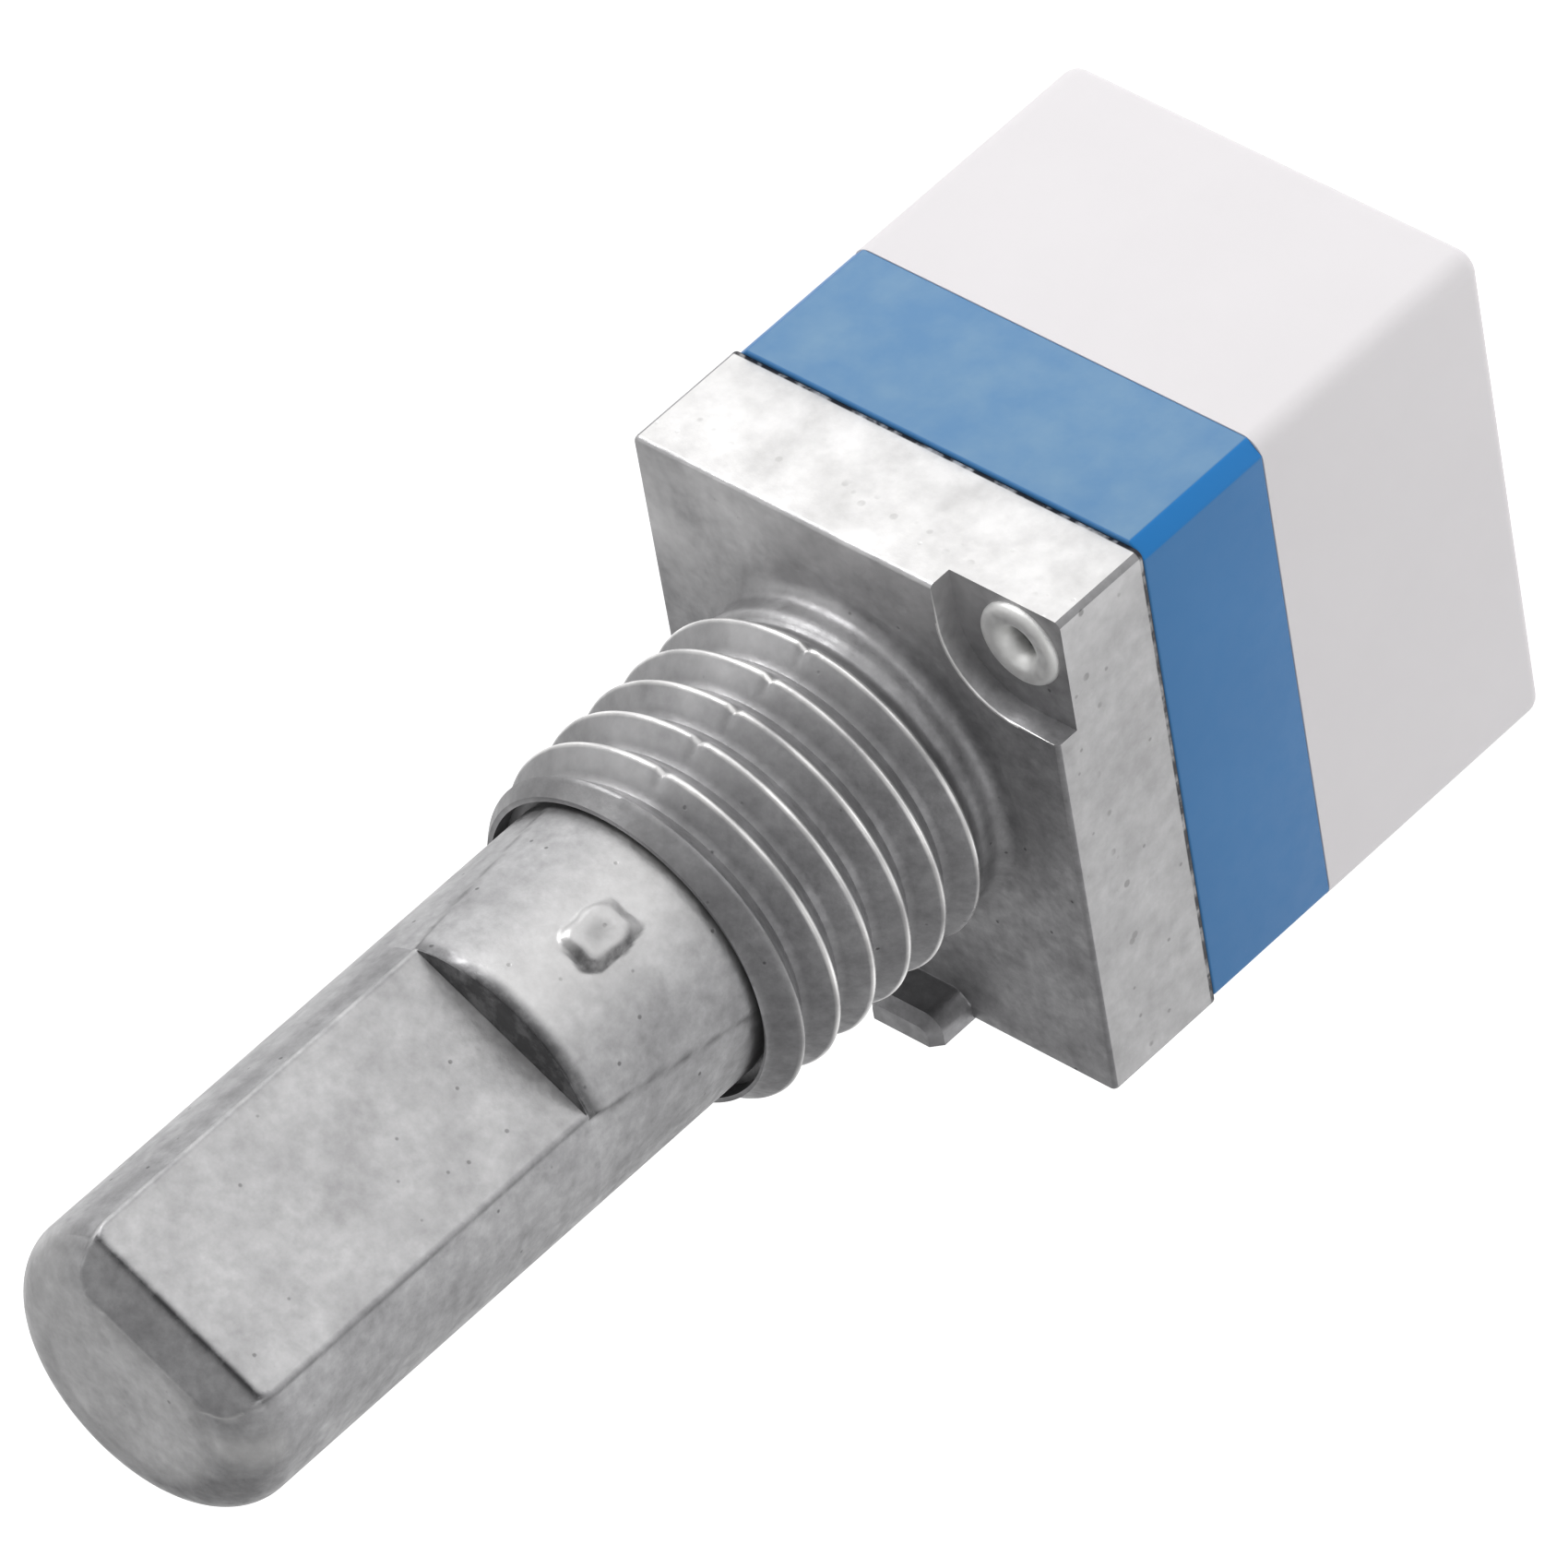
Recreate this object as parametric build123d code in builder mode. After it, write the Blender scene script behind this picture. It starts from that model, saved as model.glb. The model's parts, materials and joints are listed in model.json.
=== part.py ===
# Rotary power switch: a volume control with a mains-style click switch on its back.
# Zinc front with a threaded bushing, blue element wafer, white switch case, D-cut shaft.
#
# Frame: millimetres, +Z along the shaft towards its tip, origin on the shaft axis in the
# front (panel) face. The case lies below z = 0 and its terminals point to -Z.
from build123d import *
import os
from math import cos, radians, sin

os.makedirs("parts", exist_ok=True)

# ---- case stack ---------------------------------------------------------------------
body_width = 9.46            # along X
body_height = 11.02          # along Y, over the plastic cases
body_offset_x = 0.34         # centre of the case, from the shaft axis
body_offset_y = -0.27
plate_thickness = 2.69
plate_inset = 0.08           # the cast front stands short of the cases, top and bottom
wafer_thickness = 3.16
switch_depth = 5.89
chamber_r = 3.85             # round chamber that runs through the whole stack
plate_skin = 1.0             # metal left between the front face and the chamber
wafer_floor = 0.8
switch_floor = 1.0

# ---- case edges ---------------------------------------------------------------------
plate_corner_r = 0.15
plate_edge_r = 0.1
wafer_chamfer = 0.3
switch_corner_r = 0.45
switch_edge_r = 0.3

# ---- bushing, lug and rivets --------------------------------------------------------
bushing_r = 3.6              # over the thread crests
bushing_length = 6.08
bushing_rim_r = 3.42
bushing_tip_r = 3.27
bushing_rim_drop = 0.36      # from the tip back to the rim
bushing_lead_in = 0.2        # from the rim back to the full thread
mouth_r = 3.2                # counterbore that the knob shaft starts in
mouth_depth = 0.4
lug_width = 1.7
lug_depth = 0.6
lug_height = 0.97
lug_x = 0.89                 # centre of the locating lug
lug_shoulder_r = 0.4         # on its two edges nearest the bushing
lug_nose_bevel = 0.2
recess_width = 2.52          # corner recess, along X from the plate's side
recess_height = 2.49
recess_depth = 0.5
recess_corner_r = 1.6
rivet_inset = 1.02           # rivet centre from the sides of the case
rivet_r = 0.6
rivet_bore_r = 0.38
rivet_head_r = 0.86
rivet_head_height = 0.14
rivet_head_bevel = 0.07
rivet_foot_r = 0.72
rivet_foot_height = 0.2
rivet_foot_sink = 0.3        # counterbore in the back of the case

# ---- shaft --------------------------------------------------------------------------
shaft_r = 3.0
shaft_tip_z = 18.9
shaft_shoulder_gap = 0.05    # between the counterbore's floor and the shaft's shoulder
shaft_shoulder_break = 0.08
nose_length = 1.55
nose_r = 1.52                # radius of the rounded nose
tip_disc_r = 1.73
tip_disc_rise = 0.05
flat_angle = 60.5            # direction that the D flat faces
flat_height = 2.2            # axis to the flat
flat_start_z = 10.1
flat_bevel_length = 0.7
flat_bevel_depth = 0.82
mark_z = 7.8                 # oval moulding mark in line with the flat
mark_width = 0.85
mark_length = 1.2
mark_depth = 0.12
neck_r = 2.0                 # part of the shaft that runs in the bushing
neck_clearance = 0.05
groove_r = 1.4
groove_width = 0.4
tang_width = 2.2
tang_thickness = 1.1

# ---- rotation -----------------------------------------------------------------------
turn_half = 150.0            # travel each way from mid position
stop_width = 30.0            # fixed stop in the front plate, in degrees
stop_depth = 0.6
stop_clearance = 1.0         # degrees left at each end of the travel

# ---- clearances ---------------------------------------------------------------------
axial_clearance = 0.04
fit_clearance = 0.02
rotor_clearance = 0.15
rivet_clearance = 0.02
contact_gap = 0.03

# ---- parts inside the wafer ---------------------------------------------------------
thrust_washer_r = 3.0
thrust_washer_thickness = 0.2
clip_r = 2.9
clip_thickness = 0.35
clip_mouth = 2.6
rotor_thickness = 1.1
rotor_hub_r = 1.6
brush_thickness = 0.12
brush_room = 0.95            # from the brush plate's rim to the chamber wall
finger_width = 0.4
finger_rise = 1.2            # tangential reach of each sprung finger, each way
board_thickness = 0.5
track_thickness = 0.05
track_room = 0.8             # from the middle of the track to the chamber wall
track_width = 0.7
collector_mid_r = 2.0
collector_width = 0.6
dead_angle = 44.0            # gap in the resistive track, in degrees

# ---- terminals ----------------------------------------------------------------------
terminal_pitch = 2.0
terminal_row_y = -4.95
terminal_width = 0.7
terminal_thickness = 0.3
terminal_reach = 1.5         # how far the pins stand out of the back
terminal_point = 0.1
foot_width = 0.9
foot_depth = 1.0
foot_thickness = 0.2

# ---- parts inside the switch case ---------------------------------------------------
cam_room = 0.55              # from the cam's rim to the chamber wall, for the detent
cam_thickness = 1.5
stem_r = 0.9
contact_plate_thickness = 0.2
bridge_thickness = 0.15
bridge_width = 0.9
bridge_hub_r = 1.5
dimple_r = 0.22
common_mid_r = 1.25
common_width = 0.6
load_room = 1.05             # from the middle of the load contact to the chamber wall
load_width = 1.2
load_off_angle = 28.0        # the last degrees of travel, where the circuit is open
leaf_thickness = 0.12
leaf_width = 2.8
leaf_room = 1.15             # from the leaf's ends to the chamber wall
detent_angle = 225.0         # where the detent's nose sits in the case
detent_half_span = 25.0
detent_nose_half = 6.0
detent_notch_r = 0.3

# ---- levels along the axis ----------------------------------------------------------
plate_back = -plate_thickness
wafer_back = plate_back - wafer_thickness
case_back = wafer_back - switch_depth
chamber_top = -plate_skin
wafer_floor_top = wafer_back + wafer_floor
switch_floor_top = case_back + switch_floor
washer_back = chamber_top - axial_clearance - thrust_washer_thickness
clip_front = washer_back - fit_clearance
clip_back = clip_front - clip_thickness
groove_front = clip_front + (groove_width - clip_thickness) / 2
neck_back = groove_front - groove_width - 0.3
rotor_front = neck_back - axial_clearance
rotor_back = rotor_front - rotor_thickness
board_top = wafer_floor_top + board_thickness
track_top = board_top + track_thickness
cam_front = wafer_back - rotor_clearance
cam_back = cam_front - cam_thickness
tang_end = cam_back + axial_clearance + contact_gap
contact_top = switch_floor_top + contact_plate_thickness
bridge_back = contact_top + contact_gap + dimple_r
bridge_front = bridge_back + bridge_thickness
stem_end = contact_top + contact_gap * 2
terminal_tip = case_back - terminal_reach
shoulder_z = bushing_length - mouth_depth + shaft_shoulder_gap

# ---- places across the axis ---------------------------------------------------------
case_centre = (body_offset_x, body_offset_y)
half_width = body_width / 2
half_height = body_height / 2
half_plate = half_height - plate_inset
cam_r = chamber_r - cam_room
track_mid_r = chamber_r - track_room
load_mid_r = chamber_r - load_room
leaf_half_span = chamber_r - leaf_room
brush_plate_r = chamber_r - brush_room
plate_corners = [
    (body_offset_x + half_width, body_offset_y + half_plate),
    (body_offset_x - half_width, body_offset_y - half_plate),
]
rivet_points = [
    (body_offset_x + side * (half_width - rivet_inset), body_offset_y + side * (half_height - rivet_inset))
    for side in (1, -1)
]
terminal_xs = [body_offset_x + step * terminal_pitch for step in (-1, 0, 1)]
foot_inner_y = terminal_row_y + foot_depth * 0.7
foot_outer_y = foot_inner_y - foot_depth
bay_width = 2 * terminal_pitch + foot_width + 0.5
bay_bottom = foot_outer_y - 0.1
common_pin = (0.0, -(load_mid_r + 0.1))
load_pin = (0.0, load_mid_r + 0.2)


def sector(inner_r, outer_r, middle, sweep, mode=Mode.ADD):
    """Face between two radii about the axis, centred on an angle."""
    start = middle - sweep / 2
    with BuildLine() as outline:
        outer = CenterArc((0, 0), outer_r, start, sweep)
        inner = CenterArc((0, 0), inner_r, start, sweep)
        Line(outer @ 0, inner @ 0)
        Line(outer @ 1, inner @ 1)
    make_face(outline.edges(), mode=mode)


def rivet_holes(back, front):
    """Holes for both rivets through the open part."""
    with BuildSketch(Plane.XY.offset(back)) as holes:
        with Locations(*rivet_points):
            Circle(rivet_r + rivet_clearance)
    extrude(holes.sketch, amount=front - back, mode=Mode.SUBTRACT)


def pin_slots(points, back, front):
    """Rectangular slots for terminal pins through the open part."""
    with BuildSketch(Plane.XY.offset(back)) as slots:
        with Locations(*points):
            Rectangle(terminal_width + 2 * fit_clearance, terminal_thickness + 2 * fit_clearance)
    extrude(slots.sketch, amount=front - back, mode=Mode.SUBTRACT)


def save(piece, name):
    """Label a finished piece and write it under its node's name."""
    piece.part.label = name
    export_step(piece.part, f"parts/{name}.step")


# ---- zinc front with bushing --------------------------------------------------------
with BuildPart() as front_housing:
    with BuildSketch(Plane.XY.offset(plate_back)):
        with Locations(case_centre):
            RectangleRounded(body_width, 2 * half_plate, plate_corner_r)
    extrude(amount=plate_thickness)
    fillet(front_housing.faces().sort_by(Axis.Z)[-1].edges(), plate_edge_r)
    # recesses in two opposite corners, open at the plate's sides
    with BuildSketch():
        with Locations(*plate_corners):
            RectangleRounded(2 * recess_width, 2 * recess_height, recess_corner_r)
    extrude(amount=-recess_depth, mode=Mode.SUBTRACT)
    # bushing, over the crests of its thread
    with BuildSketch(Plane.XZ):
        with BuildLine():
            Polyline(
                (0, 0),
                (bushing_r, 0),
                (bushing_r, bushing_length - bushing_rim_drop - bushing_lead_in),
                (bushing_rim_r, bushing_length - bushing_rim_drop),
                (bushing_tip_r, bushing_length),
                (0, bushing_length),
                close=True,
            )
        make_face()
    revolve(axis=Axis.Z)
    # locating lug, flush with the plate's lower side
    lug_y = body_offset_y - half_plate + lug_depth / 2
    with BuildPart(mode=Mode.PRIVATE) as lug:
        with BuildSketch(Plane.XY.offset(-recess_depth)) as lug_outline:
            with Locations((lug_x, lug_y)):
                Rectangle(lug_width, lug_depth)
            fillet(lug_outline.vertices().sort_by(Axis.Y)[-2:], lug_shoulder_r)
        extrude(amount=recess_depth + lug_height)
        lug_nose = lug.faces().sort_by(Axis.Z)[-1]
        chamfer(lug_nose.edges().sort_by(Axis.Y)[1:], lug_nose_bevel)
    add(lug.part)
    # running bore for the shaft's neck
    with BuildSketch(Plane.XY.offset(plate_back)):
        Circle(neck_r + neck_clearance)
    extrude(amount=plate_thickness + bushing_length, mode=Mode.SUBTRACT)
    # counterbore where the knob shaft starts
    with BuildSketch(Plane.XY.offset(bushing_length)):
        Circle(mouth_r)
    extrude(amount=-mouth_depth, mode=Mode.SUBTRACT)
    # round chamber from behind, less the fixed stop
    with BuildSketch(Plane.XY.offset(plate_back)):
        Circle(chamber_r)
        sector(chamber_r - stop_depth, chamber_r + stop_depth, 270, stop_width, Mode.SUBTRACT)
    extrude(amount=plate_thickness - plate_skin, mode=Mode.SUBTRACT)
    rivet_holes(plate_back, 0)
save(front_housing, "front_housing")

# ---- hollow rivets through the whole stack ------------------------------------------
with BuildPart() as corner_rivets:
    head_seat = -recess_depth
    foot_seat = case_back + rivet_foot_sink
    with BuildSketch(Plane.XY.offset(foot_seat)):
        with Locations(*rivet_points):
            Circle(rivet_r)
    extrude(amount=head_seat - foot_seat)
    with BuildSketch(Plane.XY.offset(head_seat)):
        with Locations(*rivet_points):
            Circle(rivet_head_r)
    extrude(amount=rivet_head_height)
    with BuildSketch(Plane.XY.offset(foot_seat)):
        with Locations(*rivet_points):
            Circle(rivet_foot_r)
    extrude(amount=-rivet_foot_height)
    chamfer(corner_rivets.edges().group_by(Axis.Z)[-1], rivet_head_bevel)
    with BuildSketch(Plane.XY.offset(foot_seat - rivet_foot_height)):
        with Locations(*rivet_points):
            Circle(rivet_bore_r)
    extrude(amount=head_seat + rivet_head_height - foot_seat + rivet_foot_height, mode=Mode.SUBTRACT)
save(corner_rivets, "corner_rivets")

# ---- shaft --------------------------------------------------------------------------
with BuildPart() as shaft:
    nose_z = shaft_tip_z - nose_length
    disc_z = shaft_tip_z - tip_disc_rise
    groove_back = groove_front - groove_width
    with BuildSketch(Plane.XZ):
        with BuildLine():
            lower = Polyline(
                (0, neck_back),
                (neck_r, neck_back),
                (neck_r, groove_back),
                (groove_r, groove_back),
                (groove_r, groove_front),
                (neck_r, groove_front),
                (neck_r, shoulder_z),
                (shaft_r - shaft_shoulder_break, shoulder_z),
                (shaft_r, shoulder_z + shaft_shoulder_break),
                (shaft_r, nose_z),
            )
            nose = RadiusArc(lower @ 1, (tip_disc_r, disc_z), -nose_r)
            Polyline(nose @ 1, (tip_disc_r, shaft_tip_z), (0, shaft_tip_z), (0, neck_back))
        make_face()
    revolve(axis=Axis.Z)
    # drive tang that carries both rotors
    with BuildSketch(Plane.XY.offset(tang_end)):
        Rectangle(tang_width, tang_thickness)
    extrude(amount=neck_back - tang_end)
    # D flat, square at its foot and bevelled into the nose
    facing = Vector(cos(radians(flat_angle)), sin(radians(flat_angle)), 0)
    across = Vector(facing.Y, -facing.X, 0)
    outside = shaft_r * 1.3
    with BuildSketch(Plane(origin=(0, 0, 0), x_dir=facing, z_dir=across)):
        with BuildLine():
            Polyline(
                (flat_height, flat_start_z),
                (outside, flat_start_z),
                (outside, shaft_tip_z),
                (flat_height - flat_bevel_depth, shaft_tip_z),
                (flat_height, shaft_tip_z - flat_bevel_length),
                close=True,
            )
        make_face()
    extrude(amount=outside, both=True, mode=Mode.SUBTRACT)
    # shallow oval moulding mark below the flat
    mark_plane = Plane(origin=facing * (shaft_r - mark_depth) + Vector(0, 0, mark_z), x_dir=across, z_dir=facing)
    with BuildSketch(mark_plane):
        Ellipse(mark_width / 2, mark_length / 2)
    extrude(amount=mark_depth * 2, mode=Mode.SUBTRACT)
save(shaft, "shaft")

# ---- washer and clip that hold the shaft in -----------------------------------------
with BuildPart() as thrust_washer:
    with BuildSketch(Plane.XY.offset(washer_back)):
        Circle(thrust_washer_r)
        Circle(neck_r + fit_clearance, mode=Mode.SUBTRACT)
    extrude(amount=thrust_washer_thickness)
save(thrust_washer, "thrust_washer")

with BuildPart() as retaining_clip:
    with BuildSketch(Plane.XY.offset(clip_back)):
        Circle(clip_r)
        Circle(groove_r + fit_clearance, mode=Mode.SUBTRACT)
        with Locations((-clip_r, 0)):
            Rectangle(2 * clip_r, clip_mouth, mode=Mode.SUBTRACT)
    extrude(amount=clip_thickness)
    fillet(retaining_clip.edges().filter_by(Axis.Z).sort_by(Axis.X)[:2], 0.3)
save(retaining_clip, "retaining_clip")

# ---- wiper rotor with its stop lug --------------------------------------------------
with BuildPart() as wiper_rotor:
    lug_sweep = 2 * (180 - turn_half) - stop_width - 2 * stop_clearance
    with BuildSketch(Plane.XY.offset(rotor_back)):
        Circle(chamber_r - stop_depth - rotor_clearance)
        sector(rotor_hub_r, chamber_r - rotor_clearance, 90, lug_sweep)
    extrude(amount=rotor_thickness)
    with BuildSketch(Plane.XY.offset(track_top + rotor_clearance)):
        Circle(rotor_hub_r)
    extrude(amount=rotor_back - track_top - rotor_clearance)
    with BuildSketch(Plane.XY.offset(track_top)):
        Rectangle(tang_width + 2 * fit_clearance, tang_thickness + 2 * fit_clearance)
    extrude(amount=rotor_front - track_top, mode=Mode.SUBTRACT)
save(wiper_rotor, "wiper_rotor")

# ---- sprung brush under the rotor ---------------------------------------------------
with BuildPart() as wiper_brush:
    plate_z = rotor_back - brush_thickness
    tip_z = track_top + contact_gap
    with BuildSketch(Plane.XY.offset(plate_z)):
        Circle(brush_plate_r)
        with Locations((-finger_rise * 0.85, track_mid_r / 2)):
            Rectangle(finger_rise * 0.8, track_mid_r + finger_width)
        Circle(rotor_hub_r + fit_clearance, mode=Mode.SUBTRACT)
    extrude(amount=brush_thickness)
    for finger_r in (collector_mid_r, track_mid_r):
        with BuildSketch(Plane.XZ.offset(-finger_r)):
            with BuildLine():
                Polyline(
                    (-finger_rise, rotor_back),
                    (-finger_rise, plate_z),
                    (finger_rise * 0.8, tip_z),
                    (finger_rise, tip_z),
                    (finger_rise, tip_z + brush_thickness),
                    (finger_rise * 0.85, tip_z + brush_thickness),
                    (-finger_rise * 0.8, rotor_back),
                    close=True,
                )
            make_face()
        extrude(amount=finger_width / 2, both=True)
save(wiper_brush, "wiper_brush")

# ---- blue wafer case ----------------------------------------------------------------
terminal_points = [(x, terminal_row_y) for x in terminal_xs]
with BuildPart() as wafer_case:
    with BuildSketch(Plane.XY.offset(wafer_back)):
        with Locations(case_centre):
            Rectangle(body_width, body_height)
    extrude(amount=wafer_thickness)
    chamfer(wafer_case.edges().filter_by(Axis.Z), wafer_chamfer)
    # chamber for the board, with a bay for the terminals' feet
    with BuildSketch(Plane.XY.offset(plate_back)):
        Circle(chamber_r)
        with Locations((body_offset_x, bay_bottom / 2)):
            Rectangle(bay_width, -bay_bottom)
    extrude(amount=-(wafer_thickness - wafer_floor), mode=Mode.SUBTRACT)
    with BuildSketch(Plane.XY.offset(wafer_back)):
        Circle(rotor_hub_r)
    extrude(amount=wafer_floor, mode=Mode.SUBTRACT)
    rivet_holes(wafer_back, plate_back)
    pin_slots(terminal_points, wafer_back, wafer_floor_top)
save(wafer_case, "wafer_case")

# ---- element board and its tracks ---------------------------------------------------
with BuildPart() as element_board:
    with BuildSketch(Plane.XY.offset(wafer_floor_top)):
        Circle(chamber_r - rotor_clearance)
        with Locations((body_offset_x, (bay_bottom + fit_clearance) / 2)):
            Rectangle(bay_width - 2 * fit_clearance, -bay_bottom - fit_clearance)
        Circle(rotor_hub_r, mode=Mode.SUBTRACT)
    extrude(amount=board_thickness)
    pin_slots(terminal_points, wafer_floor_top, board_top)
save(element_board, "element_board")

with BuildPart() as resistive_track:
    inner_r = track_mid_r - track_width / 2
    outer_r = track_mid_r + track_width / 2
    with BuildSketch(Plane.XY.offset(board_top)):
        sector(inner_r, outer_r, 90, 360 - dead_angle)
        # tails from the ends of the arc to the outer terminals
        for side, terminal_x in ((-1, terminal_xs[0]), (1, terminal_xs[2])):
            end = radians(270 + side * dead_angle / 2)
            root = radians(270 + side * (dead_angle / 2 + 12))
            with BuildLine():
                Polyline(
                    (outer_r * 0.98 * cos(end), outer_r * 0.98 * sin(end)),
                    (terminal_x - side * terminal_width / 2, foot_inner_y),
                    (terminal_x + side * terminal_width / 2, foot_inner_y),
                    (outer_r * 0.98 * cos(root), outer_r * 0.98 * sin(root)),
                    (track_mid_r * cos(end), track_mid_r * sin(end)),
                    close=True,
                )
            make_face()
    extrude(amount=track_thickness)
save(resistive_track, "resistive_track")

with BuildPart() as collector_track:
    lead_width = collector_width
    with BuildSketch(Plane.XY.offset(board_top)):
        Circle(collector_mid_r + collector_width / 2)
        with Locations((body_offset_x, (foot_inner_y - collector_mid_r) / 2)):
            Rectangle(lead_width, -foot_inner_y - collector_mid_r)
        Circle(collector_mid_r - collector_width / 2, mode=Mode.SUBTRACT)
    extrude(amount=track_thickness)
save(collector_track, "collector_track")

# ---- the three terminals of the element ---------------------------------------------
for terminal_x, terminal_name in zip(terminal_xs, ("terminal_start", "terminal_wiper", "terminal_end")):
    with BuildPart() as terminal:
        with BuildSketch(Plane.XY.offset(terminal_tip)):
            with Locations((terminal_x, terminal_row_y)):
                Rectangle(terminal_width, terminal_thickness)
        extrude(amount=board_top - terminal_tip)
        chamfer(terminal.faces().sort_by(Axis.Z)[0].edges(), terminal_point)
        with BuildSketch(Plane.XY.offset(board_top)):
            with Locations((terminal_x, (foot_inner_y + foot_outer_y) / 2)):
                Rectangle(foot_width, foot_depth)
        extrude(amount=foot_thickness)
    save(terminal, terminal_name)

# ---- white switch case --------------------------------------------------------------
with BuildPart() as switch_case:
    with BuildSketch(Plane.XY.offset(case_back)):
        with Locations(case_centre):
            RectangleRounded(body_width, body_height, switch_corner_r)
    extrude(amount=switch_depth)
    fillet(switch_case.faces().sort_by(Axis.Z)[0].edges(), switch_edge_r)
    with BuildSketch(Plane.XY.offset(switch_floor_top)):
        Circle(chamber_r)
    extrude(amount=switch_depth - switch_floor, mode=Mode.SUBTRACT)
    rivet_holes(case_back, wafer_back)
    with BuildSketch(Plane.XY.offset(case_back)):
        with Locations(*rivet_points):
            Circle(rivet_foot_r + rivet_clearance)
    extrude(amount=rivet_foot_sink, mode=Mode.SUBTRACT)
    pin_slots(terminal_points, case_back, wafer_back)
    pin_slots([common_pin, load_pin], case_back, switch_floor_top)
save(switch_case, "switch_case")

# ---- switch cam, turned by the tang -------------------------------------------------
with BuildPart() as switch_cam:
    notch = radians(detent_angle - turn_half)
    with BuildSketch(Plane.XY.offset(cam_back)):
        Circle(cam_r)
        with Locations((cam_r * cos(notch), cam_r * sin(notch))):
            Circle(detent_notch_r, mode=Mode.SUBTRACT)
    extrude(amount=cam_thickness)
    with BuildSketch(Plane.XY.offset(tang_end - axial_clearance)):
        Rectangle(tang_width + 2 * fit_clearance, tang_thickness + 2 * fit_clearance)
    extrude(amount=cam_front - tang_end + axial_clearance, mode=Mode.SUBTRACT)
    with BuildSketch(Plane.XY.offset(stem_end)):
        Circle(stem_r)
    extrude(amount=cam_back - stem_end)
save(switch_cam, "switch_cam")

# ---- bridging contact and the bowed leaf that presses it down -----------------------
with BuildPart() as moving_contact:
    with BuildSketch(Plane.XY.offset(bridge_back)):
        Circle(bridge_hub_r)
        with Locations((0, load_mid_r / 2)):
            Rectangle(bridge_width, load_mid_r + bridge_width / 2)
        Circle(stem_r + fit_clearance, mode=Mode.SUBTRACT)
    extrude(amount=bridge_thickness)
    with BuildSketch(Plane.XY.offset(contact_top + contact_gap)):
        with Locations((0, load_mid_r), (0, -common_mid_r)):
            Circle(dimple_r)
    extrude(amount=dimple_r)
save(moving_contact, "moving_contact")

with BuildPart() as contact_spring:
    leaf_top = cam_back - fit_clearance - leaf_thickness
    leaf_bottom = bridge_front + fit_clearance + leaf_thickness / 2
    with BuildSketch(Plane.XZ):
        with BuildLine():
            ThreePointArc((-leaf_half_span, leaf_top), (0, leaf_bottom), (leaf_half_span, leaf_top))
        trace(line_width=leaf_thickness)
    extrude(amount=leaf_width / 2, both=True)
    with BuildSketch(Plane.XY.offset(bridge_front)):
        Circle(stem_r + rotor_clearance)
    extrude(amount=cam_back - bridge_front, mode=Mode.SUBTRACT)
save(contact_spring, "contact_spring")

# ---- fixed contacts of the switch, each with its pin --------------------------------
with BuildPart() as switch_terminal_common:
    with BuildSketch(Plane.XY.offset(switch_floor_top)):
        Circle(common_mid_r + common_width / 2)
        with Locations((0, (common_pin[1] - common_mid_r) / 2)):
            Rectangle(terminal_width, -common_pin[1] - common_mid_r + terminal_thickness)
        Circle(common_mid_r - common_width / 2, mode=Mode.SUBTRACT)
    extrude(amount=contact_plate_thickness)
    with BuildSketch(Plane.XY.offset(terminal_tip)):
        with Locations(common_pin):
            Rectangle(terminal_width, terminal_thickness)
    extrude(amount=switch_floor_top - terminal_tip)
    chamfer(switch_terminal_common.faces().sort_by(Axis.Z)[0].edges(), terminal_point)
save(switch_terminal_common, "switch_terminal_common")

with BuildPart() as switch_terminal_load:
    load_start = 90 - turn_half - 2
    load_end = 90 + turn_half - load_off_angle
    with BuildSketch(Plane.XY.offset(switch_floor_top)):
        sector(
            load_mid_r - load_width / 2,
            load_mid_r + load_width / 2,
            (load_start + load_end) / 2,
            load_end - load_start,
        )
    extrude(amount=contact_plate_thickness)
    with BuildSketch(Plane.XY.offset(terminal_tip)):
        with Locations(load_pin):
            Rectangle(terminal_width, terminal_thickness)
    extrude(amount=switch_floor_top - terminal_tip)
    chamfer(switch_terminal_load.faces().sort_by(Axis.Z)[0].edges(), terminal_point)
save(switch_terminal_load, "switch_terminal_load")

# ---- detent leaf against the chamber wall -------------------------------------------
with BuildPart() as detent_spring:
    leaf_r = chamber_r - rotor_clearance / 2 - leaf_thickness / 2
    nose_reach_r = cam_r + rotor_clearance / 2 + leaf_thickness / 2
    leaf_sweep = detent_half_span - detent_nose_half
    with BuildSketch(Plane.XY.offset(cam_back + rotor_clearance)):
        with BuildLine():
            first = CenterArc((0, 0), leaf_r, detent_angle - detent_half_span, leaf_sweep)
            second = CenterArc((0, 0), leaf_r, detent_angle + detent_nose_half, leaf_sweep)
            nose_point = (nose_reach_r * cos(radians(detent_angle)), nose_reach_r * sin(radians(detent_angle)))
            Polyline(first @ 1, nose_point, second @ 0)
        trace(line_width=leaf_thickness)
    extrude(amount=cam_thickness - 2 * rotor_clearance)
save(detent_spring, "detent_spring")
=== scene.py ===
"""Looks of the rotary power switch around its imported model: cast zinc, moulded plastic, studio."""

import json
import math

import bmesh
import bpy
import numpy as np
from mathutils import Matrix, Vector


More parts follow.
